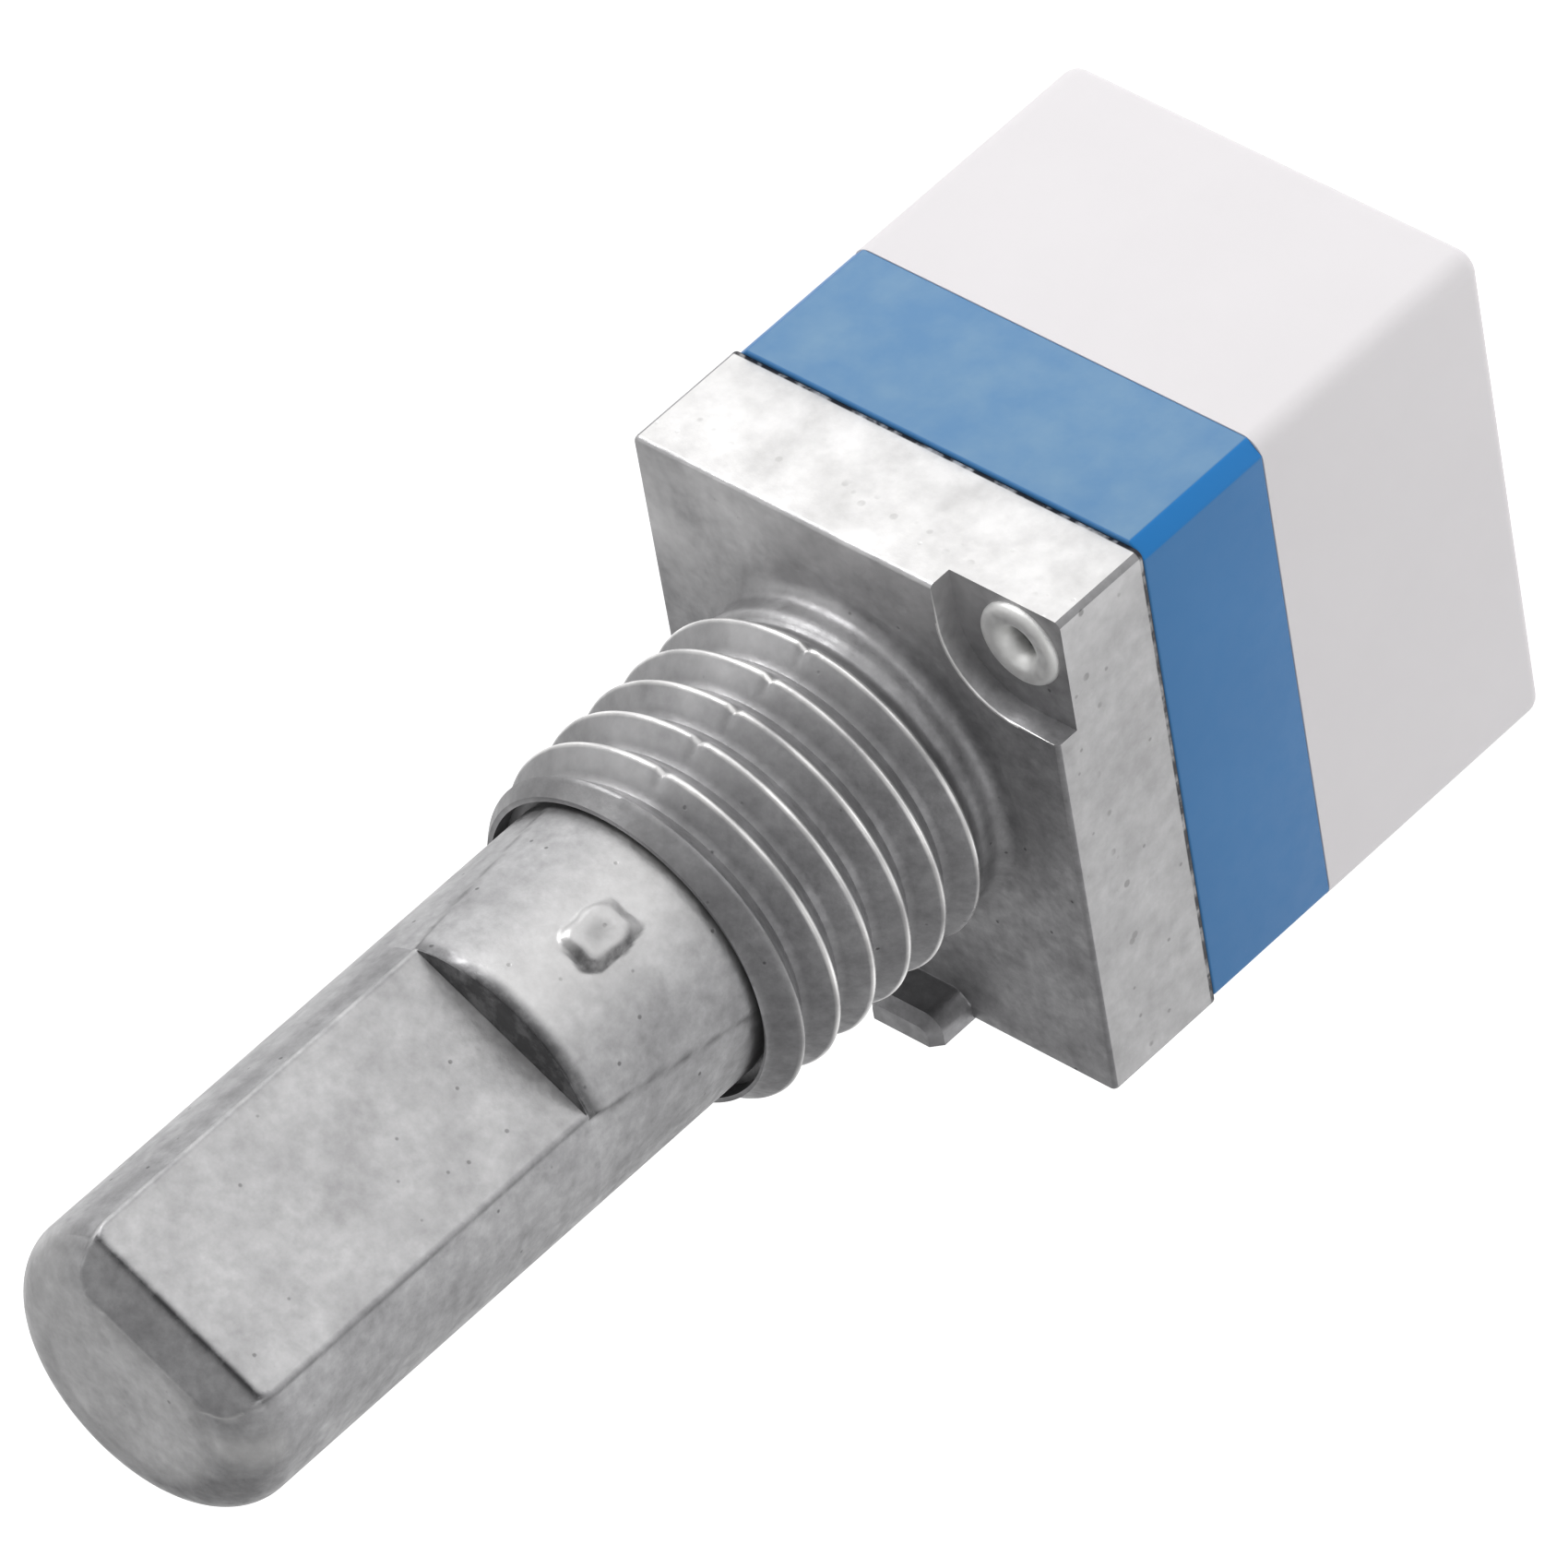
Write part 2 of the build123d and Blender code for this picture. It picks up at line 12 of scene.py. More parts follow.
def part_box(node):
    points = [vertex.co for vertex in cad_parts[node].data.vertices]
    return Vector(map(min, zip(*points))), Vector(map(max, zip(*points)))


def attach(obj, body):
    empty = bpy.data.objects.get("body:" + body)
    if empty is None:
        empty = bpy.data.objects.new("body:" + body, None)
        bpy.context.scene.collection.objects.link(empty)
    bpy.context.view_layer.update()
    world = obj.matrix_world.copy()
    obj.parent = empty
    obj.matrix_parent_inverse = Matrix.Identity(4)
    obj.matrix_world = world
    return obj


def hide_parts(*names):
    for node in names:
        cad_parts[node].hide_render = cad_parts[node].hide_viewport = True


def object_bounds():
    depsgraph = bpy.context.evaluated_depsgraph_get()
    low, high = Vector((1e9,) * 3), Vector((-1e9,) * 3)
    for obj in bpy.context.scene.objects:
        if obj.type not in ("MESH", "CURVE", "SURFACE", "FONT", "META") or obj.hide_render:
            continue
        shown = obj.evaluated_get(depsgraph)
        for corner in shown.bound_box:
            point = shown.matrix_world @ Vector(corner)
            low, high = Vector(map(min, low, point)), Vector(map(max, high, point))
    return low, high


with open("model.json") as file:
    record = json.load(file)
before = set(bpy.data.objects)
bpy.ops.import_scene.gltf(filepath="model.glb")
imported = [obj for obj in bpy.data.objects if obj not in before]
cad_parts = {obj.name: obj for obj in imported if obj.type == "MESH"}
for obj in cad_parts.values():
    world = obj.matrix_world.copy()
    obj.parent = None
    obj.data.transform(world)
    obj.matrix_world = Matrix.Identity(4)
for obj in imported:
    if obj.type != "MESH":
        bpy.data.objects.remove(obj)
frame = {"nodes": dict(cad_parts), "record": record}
cad_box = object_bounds()

MM = 0.001
WELD_REACH = 0.001 * MM           # points nearer than this are one, after a boolean
SLIVER = 0.0005 * MM              # shorter edges are left over from meshing
MOUNTS = {m["name"]: m for m in frame["record"]["mounts"]}

# ---- sizes read from the frame, in metres ---------------------------------------------
BUSHING_R = MOUNTS["bushing"]["dims"]["r_mm"] * MM
SHAFT_R = MOUNTS["knob_shaft"]["dims"]["r_mm"] * MM
BUSHING_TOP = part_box("front_housing")[1].z
SHAFT_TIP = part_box("shaft")[1].z

# ---- thread ----------------------------------------------------------------------------
PITCH = 0.932 * MM
THREAD_DEPTH = 0.46 * MM
THREAD_FIRST = 1.07 * MM          # height of the first crest at THREAD_ANGLE
THREAD_ANGLE = math.radians(51)
COLLAR_R = 3.33 * MM              # plain collar under the thread
COLLAR_TOP = 0.5 * MM
ROOT_FILLET = 0.28 * MM           # where the collar meets the plate
TIP_R = 3.24 * MM
RIM_R = 3.52 * MM
RIM_DROP = 0.36 * MM              # from the tip back to the rim
LEAD_IN = 0.2 * MM                # from the rim back to the full thread
THREAD_TOP = BUSHING_TOP - RIM_DROP - LEAD_IN
MOUTH_R = 3.14 * MM
MOUTH_DEPTH = 0.4 * MM
BORE_R = 2.04 * MM
NOTCH_ANGLE = math.radians(83)    # parting line across the crests
NOTCH_WIDTH = 0.09 * MM
NOTCH_DEPTH = 0.1 * MM
SLEEVE_FOOT = -0.4 * MM           # the sleeve starts inside the plate
ROW_SLIVER = 0.0002 * MM          # rows of the thread that meet this closely are one
# rows of the mesh in one pitch of the thread, as shares of it, closest at the crest
THREAD_ROWS = (
    0.0, 0.04, 0.085, 0.13, 0.2, 0.28, 0.36, 0.43, 0.5, 0.57, 0.64, 0.72, 0.8, 0.87, 0.915, 0.96,
)

# ---- edges, wear, painted highlight and painted shade of the front ---------------------
PLATE_EASE = 0.04 * MM            # width of the eased edges of the plate
CASE_EASE = 0.05 * MM             # and of the moulded cases
EASE_REACH = 0.01 * MM            # an edge this near a level lies on it
OUTLINE_INSET = 0.3 * MM          # an edge this near the plate's sides belongs to its outline
CASE_EDGE_INSET = 0.35 * MM       # and the same for the moulded cases
WALL_INSET = 0.14 * MM            # a face this near the plate's sides is one of its outer walls
SEAM_HEIGHT = 0.06 * MM           # painted shadow in the seam against the blue case
SIDE_WALL_HIGHLIGHT = 0.2                  # painted highlight on the plate's outer walls
TOP_WALL_HIGHLIGHT = 0.62                  # and a brighter one on its top wall
RIM_HIGHLIGHT = 0.5                   # and on the rims of its corner recesses
CREST_HIGHLIGHT = 1.0                 # and on the crests of the thread, partly real wear there
ROOT_SHADE = 0.3                  # painted shade in the roots of the thread
TIP_SHADE = 0.42                  # and on the bushing's bare end, past the last turn of thread
CORNER_SHADE = 0.45               # and in the plate's upright corners

# ---- corner rivets ---------------------------------------------------------------------
RIVET_INSET = 1.02 * MM           # rivet centre from the sides of the case
RIVET_SEAT = -0.5 * MM
RIVET_FOOT_SINK = 0.3 * MM
RIVET_SHANK_R = 0.6 * MM
RIVET_BORE_R = 0.38 * MM
RIVET_FOOT_R = 0.72 * MM
RIVET_FOOT_HEIGHT = 0.2 * MM
# radius and height over the seat, in millimetres, from the rim inwards
RIVET_HEAD = (
    (0.86, 0.0), (0.86, 0.05), (0.83, 0.11), (0.77, 0.145), (0.68, 0.155), (0.55, 0.15),
    (0.46, 0.12), (0.4, 0.06), (0.35, -0.02), (0.32, -0.1), (0.3, -0.2), (0.3, -0.45), (0.38, -0.6),
)

# ---- shaft -----------------------------------------------------------------------------
FLAT_ANGLE = math.radians(60.5)
FLAT_HEIGHT = 2.2 * MM
FLAT_START = 10.1 * MM
STEP_ROUND = 0.4 * MM             # eased edge of the step at the start of the flat
BEVEL_LENGTH = 0.6 * MM
BEVEL_DEPTH = 0.72 * MM
NOSE_LENGTH = 0.99 * MM
DISC_R = 1.8 * MM
DISC_RISE = 0.04 * MM
LAND_DROP = 0.05 * MM             # the shaft's sides are cast a little lower than its flat half
LAND_LEAN = 3.4                   # degrees that the land's edge turns in each millimetre
NECK_R = 2.0 * MM
NECK_DRAWN = 2.0 * MM             # length of the neck that is drawn with the knob shaft
SHOULDER_GAP = 0.06 * MM          # between the mouth's floor and the shaft's shoulder
SHOULDER_BREAK = 0.08 * MM        # broken edge of the shoulder
MARK_Z = 7.88 * MM
MARK_SHIFT = 0.04 * MM            # of the mark's middle from the flat's middle line
MARK_HALF_WIDTH = 0.53 * MM
MARK_HALF_LENGTH = 0.75 * MM
MARK_HEIGHT = 0.14 * MM
MARK_REACH = 0.85 * MM            # the mesh has close rows this far each way from the mark
EDGE_SOFTNESS = 0.035 * MM
# share of its radius and drop below the tip, in millimetres, of each ring of the end disc
DISC_RINGS = (
    (1.0, 0.02), (0.985, 0.0), (0.8, 0.0), (0.6, 0.0), (0.4, 0.0), (0.2, 0.0), (0.05, 0.0),
)
DISC_HIGHLIGHT = 0.15                 # painted highlight on the end disc
FLAT_HIGHLIGHT = 0.13                 # and the milled flat
MARK_SKIN_HIGHLIGHT = 0.36              # and the skin around the moulding mark

# ---- bands on the plate's walls, as depths under the front face in millimetres -----------
PARTING_BAND = (0.75, 0.95, 1.1, 1.3)   # pits, fading in over the first two and out over the last
SEAM_BAND = (2.57, 2.6)                 # painted shadow line at the back edge, fading in

# ---- colours of the zinc's wear, painted highlight and painted shade, and of the blue case ---
WEAR_SHEEN_DARK, WEAR_SHEEN_LIGHT = (0.74, 0.73, 0.72), (0.95, 0.94, 0.93)
WORN_ROUGHNESS = (0.3, 0.3, 0.3)
PARTING_PIT = (0.12, 0.12, 0.122)
PAINTED_SHADE_COLOUR = (0.05, 0.05, 0.052)
SEAM_SHADOW = (0.03, 0.03, 0.035)
CHAMFER_SHADE_BLUE = (0.01, 0.16, 0.44)    # painted shade: the blue case's chamfered corner, coloured a deeper blue


# ---- mesh helpers ----------------------------------------------------------------------
def link_mesh(name, verts, faces):
    """A new mesh object from points and faces."""
    mesh = bpy.data.meshes.new(name)
    mesh.from_pydata([tuple(v) for v in verts], [], [tuple(f) for f in faces])
    mesh.update()
    obj = bpy.data.objects.new(name, mesh)
    bpy.context.scene.collection.objects.link(obj)
    return obj


def circle(turn, radius, z, x=0.0, y=0.0):
    """Points at the given angles and height round the shaft's axis, or round another centre."""
    return np.c_[x + radius * np.cos(turn), y + radius * np.sin(turn), np.full(len(turn), z)]


def ring_mesh(name, rings, closed_ends=False):
    """A skin over rings of equal count; its ends meet each other, or each closes to a point."""
    count = len(rings[0])
    verts = np.concatenate(rings)
    faces = []
    turns = len(rings) if not closed_ends else len(rings) - 1
    for row in range(turns):
        low, high = row * count, ((row + 1) % len(rings)) * count
        for step in range(count):
            following = (step + 1) % count
            faces.append((low + step, low + following, high + following, high + step))
    if closed_ends:
        verts = np.vstack([verts, rings[0].mean(0), rings[-1].mean(0)])
        first, last = len(verts) - 2, len(verts) - 1
        top = (len(rings) - 1) * count
        for step in range(count):
            following = (step + 1) % count
            faces.append((following, step, first))
            faces.append((top + step, top + following, last))
    return link_mesh(name, verts, faces)


def smooth(obj, angle_deg=35):
    """Smooth shading, with edges sharper than the angle kept crisp."""
    obj.data.shade_smooth()
    obj.data.set_sharp_from_angle(angle=math.radians(angle_deg))


def node_copy(node, name):
    """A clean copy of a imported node's mesh: welded, and its flat faces whole."""
    source = frame["nodes"][node].data
    verts = np.array([v.co for v in source.vertices])
    faces = [tuple(p.vertices) for p in source.polygons]
    obj = link_mesh(name, verts, faces)
    work = bmesh.new()
    work.from_mesh(obj.data)
    bmesh.ops.remove_doubles(work, verts=work.verts, dist=SLIVER)
    bmesh.ops.dissolve_limit(
        work, angle_limit=math.radians(0.5), verts=work.verts, edges=work.edges
    )
    work.to_mesh(obj.data)
    work.free()
    return obj


def soften_edges(obj, width, chosen, segments=3, clamp=True):
    """Rounds the sharp edges that the test chooses."""
    work = bmesh.new()
    work.from_mesh(obj.data)
    edges = [
        e for e in work.edges
        if e.is_manifold and e.calc_face_angle(0) > math.radians(30) and chosen(e)
    ]
    bmesh.ops.bevel(
        work, geom=edges, offset=width, segments=segments, profile=0.5,
        affect="EDGES", clamp_overlap=clamp,
    )
    work.to_mesh(obj.data)
    work.free()


def boolean(obj, other, operation):
    """Applies one boolean and deletes the other object."""
    step = obj.modifiers.new("cut", "BOOLEAN")
    step.operation = operation
    step.object = other
    step.solver = "EXACT"
    bpy.context.view_layer.update()
    graph = bpy.context.evaluated_depsgraph_get()
    made = bpy.data.meshes.new_from_object(obj.evaluated_get(graph))
    obj.modifiers.clear()
    obj.data = made
    bpy.data.objects.remove(other)


def weld(obj):
    """Joins points that a boolean left a hair apart and closes the pinholes between them."""
    work = bmesh.new()
    work.from_mesh(obj.data)
    bmesh.ops.remove_doubles(work, verts=work.verts, dist=WELD_REACH)
    bmesh.ops.dissolve_degenerate(work, edges=work.edges, dist=SLIVER)
    bmesh.ops.holes_fill(work, edges=[e for e in work.edges if e.is_boundary], sides=8)
    work.to_mesh(obj.data)
    work.free()


def cylinder(name, radius, low, high, count=96):
    """A plain closed cylinder on the shaft's axis, used as a cutter."""
    turn = np.linspace(0, 2 * np.pi, count, endpoint=False)
    return ring_mesh(name, [circle(turn, radius, z) for z in (low, high)], closed_ends=True)


def smoothstep(low, high, x):
    """0 below low, 1 above high, eased between."""
    t = np.clip((x - low) / (high - low), 0, 1)
    return t * t * (3 - 2 * t)


def soft_min(a, b, softness):
    """The smaller of two values, rounded where they cross."""
    gap = np.abs(a - b)
    return np.minimum(a, b) - np.maximum(softness - gap, 0) ** 2 / (4 * softness)


# ---- materials -------------------------------------------------------------------------
UP, DOWN = (0, 0, 1), (0, 0, -1)  # along the shaft's axis


class Shader:
    """A material with a few helpers for building its nodes."""

    def __init__(self, name):
        self.material = bpy.data.materials.new(name)
        self.material.use_nodes = True
        self.tree = self.material.node_tree
        self.surface = self.tree.nodes["Principled BSDF"]
        coordinates = self.tree.nodes.new("ShaderNodeTexCoord")
        scaled = self.tree.nodes.new("ShaderNodeVectorMath")
        scaled.operation = "SCALE"
        scaled.inputs["Scale"].default_value = 1 / MM
        self.link(coordinates.outputs["Object"], scaled.inputs[0])
        self.place = scaled.outputs[0]
        self.normal = coordinates.outputs["Normal"]

    def link(self, source, target):
        self.tree.links.new(source, target)

    def noise(self, per_mm, detail, roughness):
        """Cloudy noise, 0 to 1, with about per_mm features in each millimetre."""
        node = self.tree.nodes.new("ShaderNodeTexNoise")
        node.inputs["Scale"].default_value = per_mm
        node.inputs["Detail"].default_value = detail
        node.inputs["Roughness"].default_value = roughness
        self.link(self.place, node.inputs["Vector"])
        return node.outputs["Fac"]

    def cells(self, per_mm):
        """Distance to scattered points, for pits."""
        node = self.tree.nodes.new("ShaderNodeTexVoronoi")
        node.inputs["Scale"].default_value = per_mm
        self.link(self.place, node.inputs["Vector"])
        return node.outputs["Distance"]

    def ramp(self, value, stops):
        """Maps a value through (position, grey or colour) stops."""
        node = self.tree.nodes.new("ShaderNodeValToRGB")
        elements = node.color_ramp.elements
        while len(elements) < len(stops):
            elements.new(0.5)
        for element, (position, colour) in zip(elements, stops):
            element.position = position
            is_grey = isinstance(colour, (int, float))
            element.color = (colour, colour, colour, 1) if is_grey else (*colour, 1)
        self.link(value, node.inputs["Fac"])
        return node.outputs["Color"]

    def mix(self, factor, a, b, blend="MIX"):
        """Mixes two colours; each is a socket or an RGB tuple."""
        node = self.tree.nodes.new("ShaderNodeMix")
        node.data_type = "RGBA"
        node.blend_type = blend
        if isinstance(factor, (int, float)):
            node.inputs["Factor"].default_value = factor
        else:
            self.link(factor, node.inputs["Factor"])
        for slot, value in ((6, a), (7, b)):
            if isinstance(value, tuple):
                node.inputs[slot].default_value = (*value, 1)
            else:
                self.link(value, node.inputs[slot])
        return node.outputs[2]

    def add(self, a, b, scale_b=1.0):
        """a + b * scale_b for two values."""
        node = self.tree.nodes.new("ShaderNodeMath")
        node.operation = "MULTIPLY_ADD"
        self.link(b, node.inputs[0])
        node.inputs[1].default_value = scale_b
        self.link(a, node.inputs[2])
        return node.outputs[0]

    def bump(self, height, distance_mm, strength):
        """Relief of the given depth on the surface."""
        node = self.tree.nodes.new("ShaderNodeBump")
        node.inputs["Strength"].default_value = strength
        node.inputs["Distance"].default_value = distance_mm * MM
        self.link(height, node.inputs["Height"])
        self.link(node.outputs["Normal"], self.surface.inputs["Normal"])

    def slope(self, direction, start_mm, end_mm, vector=None):
        """0 to 1 along a direction of the part (or of another vector), between two distances."""
        dot = self.tree.nodes.new("ShaderNodeVectorMath")
        dot.operation = "DOT_PRODUCT"
        self.link(vector or self.place, dot.inputs[0])
        dot.inputs[1].default_value = direction
        span = self.tree.nodes.new("ShaderNodeMapRange")
        span.interpolation_type = "SMOOTHSTEP"
        span.inputs["From Min"].default_value = start_mm
        span.inputs["From Max"].default_value = end_mm
        self.link(dot.outputs["Value"], span.inputs["Value"])
        return span.outputs["Result"]

    def times(self, a, b):
        """Product of two values."""
        node = self.tree.nodes.new("ShaderNodeMath")
        node.operation = "MULTIPLY"
        self.link(a, node.inputs[0])
        self.link(b, node.inputs[1])
        return node.outputs[0]

    def attribute(self, name):
        """A value stored on the mesh's points or face corners."""
        node = self.tree.nodes.new("ShaderNodeAttribute")
        node.attribute_name = name
        return node.outputs["Fac"]


def cast_zinc(name, light, dark, front_painted_light=None):
    """Die-cast zinc: cloudy grey skin, fine speckle, a few dark pits, painted highlights (partly
    wear) and painted shade.
    """
    shader = Shader(name)
    clouds = shader.ramp(shader.noise(0.9, 5, 0.6), [(0.32, dark), (0.68, light)])
    speckle = shader.ramp(shader.noise(4.0, 4, 0.65), [(0.3, 0.82), (0.7, 1.1)])
    skin = shader.mix(1.0, clouds, speckle, "MULTIPLY")
    pits = shader.ramp(shader.cells(1.7), [(0.045, 0.42), (0.085, 1.0)])
    skin = shader.mix(1.0, skin, pits, "MULTIPLY")
    rough = shader.ramp(shader.noise(3.0, 4, 0.6), [(0.3, 0.36), (0.7, 0.56)])
    if front_painted_light:
        # the front is painted paler towards one corner, a painted reflection, and a row of pits
        # marks the die's parting line
        corner = shader.slope((-0.35, 0.94, 0), 1.0, 5.0)
        patches = shader.ramp(shader.noise(0.55, 4, 0.6), [(0.35, 0.35), (0.65, 1.0)])
        skin = shader.mix(shader.times(corner, patches), skin, front_painted_light)
        start, full, fading, end = PARTING_BAND
        below, above = shader.slope(DOWN, start, full), shader.slope(UP, -end, -fading)
        row_pits = shader.ramp(shader.cells(2.6), [(0.16, 1.0), (0.24, 0.0)])
        skin = shader.mix(shader.times(shader.times(below, above), row_pits), skin, PARTING_PIT)
    # painted highlight, partly real wear, where the mesh attribute is set: paler, glossier zinc
    wear_and_highlight = shader.attribute("wear_and_highlight")
    wear_sheen = shader.ramp(shader.noise(1.1, 5, 0.65), [(0.3, WEAR_SHEEN_DARK), (0.62, WEAR_SHEEN_LIGHT)])
    skin = shader.mix(wear_and_highlight, skin, wear_sheen)
    # painted shade where the second mesh attribute is set: near-black, in blotches
    shade_blotches = shader.ramp(shader.noise(2.2, 4, 0.65), [(0.38, 0.7), (0.55, 1.0)])
    skin = shader.mix(shader.times(shader.attribute("painted_shade"), shade_blotches), skin, PAINTED_SHADE_COLOUR)
    rough = shader.mix(wear_and_highlight, rough, WORN_ROUGHNESS)
    if front_painted_light:
        # a broken painted shadow line along the plate's back edge, against the blue case
        seam = shader.slope(DOWN, *SEAM_BAND)
        broken = shader.ramp(shader.noise(2.6, 3, 0.6), [(0.36, 0.3), (0.52, 1.0)])
        skin = shader.mix(shader.times(seam, broken), skin, SEAM_SHADOW)
    shader.link(skin, shader.surface.inputs["Base Color"])
    shader.link(rough, shader.surface.inputs["Roughness"])
    shader.surface.inputs["Metallic"].default_value = 0.8
    relief = shader.add(shader.noise(1.4, 3, 0.5), shader.noise(5.0, 3, 0.6), 0.35)
    relief = shader.add(relief, pits, 0.5)
    shader.bump(relief, 0.035, 0.6)
    return shader.material


def moulded_plastic(name, colour, shade, roughness, specks=None, top_sheen=None):
    """Satin moulded plastic with faint clouding; it may carry specks and a painted sheen on its top.
    """
    shader = Shader(name)
    skin = shader.mix(shader.noise(0.35, 3, 0.5), colour, shade)
    if top_sheen:
        # painted sheen: faces turned to +Y, towards the key light, are paler and greyer
        top = shader.slope((0, 1, 0), 0.9, 1.0, shader.normal)
        sheen_patches = shader.ramp(shader.noise(0.8, 4, 0.6), [(0.35, 0.55), (0.7, 1.0)])
        skin = shader.mix(shader.times(top, sheen_patches), skin, top_sheen)
    if specks:
        spots = shader.ramp(shader.cells(0.55), [(0.045, 1.0), (0.065, 0.0)])
        skin = shader.mix(spots, skin, specks)
        # painted shade: faces between +X and +Y, the chamfered corner, turn a deeper blue
        faces_right = shader.slope((1, 0, 0), 0.2, 0.45, shader.normal)
        faces_up = shader.slope((0, 1, 0), 0.2, 0.45, shader.normal)
        skin = shader.mix(shader.times(faces_right, faces_up), skin, CHAMFER_SHADE_BLUE)
        shader.surface.inputs["Specular IOR Level"].default_value = 0.22
    shader.link(skin, shader.surface.inputs["Base Color"])
    rough_stops = [(0.3, roughness - 0.05), (0.7, roughness + 0.06)]
    rough = shader.ramp(shader.noise(2.5, 3, 0.6), rough_stops)
    shader.link(rough, shader.surface.inputs["Roughness"])
    shader.surface.inputs["IOR"].default_value = 1.5
    relief = shader.add(shader.noise(0.6, 2, 0.5), shader.noise(14.0, 3, 0.6), 0.12)
    shader.bump(relief, 0.02, 0.45)
    return shader.material


def plated_metal(name, colour, roughness):
    """Thin stamped strip with a satin plated skin."""
    shader = Shader(name)
    skin = shader.mix(shader.noise(4.0, 4, 0.6), colour, tuple(0.8 * c for c in colour))
    shader.link(skin, shader.surface.inputs["Base Color"])
    shader.surface.inputs["Metallic"].default_value = 1.0
    rough_stops = [(0.3, roughness - 0.08), (0.7, roughness + 0.08)]
    rough = shader.ramp(shader.noise(6.0, 3, 0.6), rough_stops)
    shader.link(rough, shader.surface.inputs["Roughness"])
    shader.bump(shader.noise(10.0, 3, 0.6), 0.006, 0.5)
    return shader.material


def dull_film(name, colour, roughness=0.6):
    """Printed film, laminate or natural plastic that stays inside the case."""
    shader = Shader(name)
    skin = shader.mix(shader.noise(3.0, 4, 0.6), colour, tuple(0.75 * c for c in colour))
    shader.link(skin, shader.surface.inputs["Base Color"])
    shader.surface.inputs["Roughness"].default_value = roughness
    shader.bump(shader.noise(12.0, 2, 0.5), 0.004, 0.4)
    return shader.material


# the plate's zinc, with a paler painted reflection on its front towards one corner
ZINC_PLATE = cast_zinc(
    "cast_zinc_front", (0.33, 0.328, 0.336), (0.23, 0.228, 0.235), front_painted_light=(0.58, 0.575, 0.58)
)
ZINC_SHAFT = cast_zinc("cast_zinc_shaft", (0.42, 0.418, 0.425), (0.3, 0.298, 0.305))
BLUE = moulded_plastic(
    "blue_moulding", (0.047, 0.175, 0.387), (0.04, 0.155, 0.352), 0.42,
    specks=(0.01, 0.08, 0.24), top_sheen=(0.15, 0.27, 0.41),
)
WHITE = moulded_plastic("white_moulding", (0.66, 0.64, 0.652), (0.63, 0.61, 0.622), 0.5)
RIVET = plated_metal("plated_steel", (0.84, 0.84, 0.83), 0.55)
TINNED = plated_metal("tinned_strip", (0.5, 0.49, 0.46), 0.34)
BRONZE = plated_metal("spring_bronze", (0.72, 0.5, 0.3), 0.32)
NATURAL = dull_film("natural_plastic", (0.74, 0.72, 0.66))
LAMINATE = dull_film("paper_laminate", (0.3, 0.17, 0.08))
CARBON = dull_film("carbon_film", (0.02, 0.02, 0.02), 0.5)
SILVER = plated_metal("silver_film", (0.8, 0.8, 0.78), 0.4)

SLOT_MATERIALS = {
    "zinc_casting": ZINC_PLATE,
    "zinc_shaft": ZINC_SHAFT,
    "rivet_steel": RIVET,
    "spring_bronze": BRONZE,
    "rotor_plastic": NATURAL,
    "blue_plastic": BLUE,
    "board_laminate": LAMINATE,
    "carbon_film": CARBON,
    "silver_film": SILVER,
    "tinned_brass": TINNED,
    "white_plastic": WHITE,
}


def dress(obj, material):
    """Gives a piece its one material."""
    obj.data.materials.clear()
    obj.data.materials.append(material)


def dress_nodes():
    """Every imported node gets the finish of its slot."""
    for part in frame["record"]["subparts"]:
        dress(frame["nodes"][part["node"]], SLOT_MATERIALS[part["material_slot"]])


# ---- threaded front --------------------------------------------------------------------
def thread_wave(turn, z):
    """0 in the root and 1 on the crest of the right-hand thread."""
    phase = (z - THREAD_FIRST) / PITCH - (turn - THREAD_ANGLE) / (2 * np.pi)
    from_crest = np.abs((phase + 0.5) % 1.0 - 0.5) * 2
    flank = soft_min(1.1 - 1.2 * from_crest, 1.0 + 0 * from_crest, 0.12)
    return -soft_min(-flank, 0 * flank, 0.25)


def bushing_radius(turn, z):
    """Outer radius of the bushing at an angle and height."""
    wave = thread_wave(turn, z)
    threaded = BUSHING_R - THREAD_DEPTH * (1 - wave)
    entry = smoothstep(COLLAR_TOP - 0.1 * MM, COLLAR_TOP + 0.5 * MM, z + 0 * turn)
    radius = COLLAR_R + (threaded - COLLAR_R) * entry
    lead = RIM_R - (z - THREAD_TOP - LEAD_IN) * (RIM_R - TIP_R) / RIM_DROP
    radius = soft_min(radius, lead + 0 * turn, 0.08 * MM)
    foot = np.clip(1 - z / ROOT_FILLET, 0, 1)
    flare = ROOT_FILLET * (1 - np.sqrt(np.clip(1 - foot**2, 0, 1)))
    across = (turn - NOTCH_ANGLE) * BUSHING_R / NOTCH_WIDTH
    notched = entry * (1 - smoothstep(THREAD_TOP - 0.3 * MM, THREAD_TOP, z + 0 * turn))
    notch = NOTCH_DEPTH * np.exp(-across**2) * thread_wave(turn, z) ** 2 * notched
    return radius + flare * (z >= 0) - notch


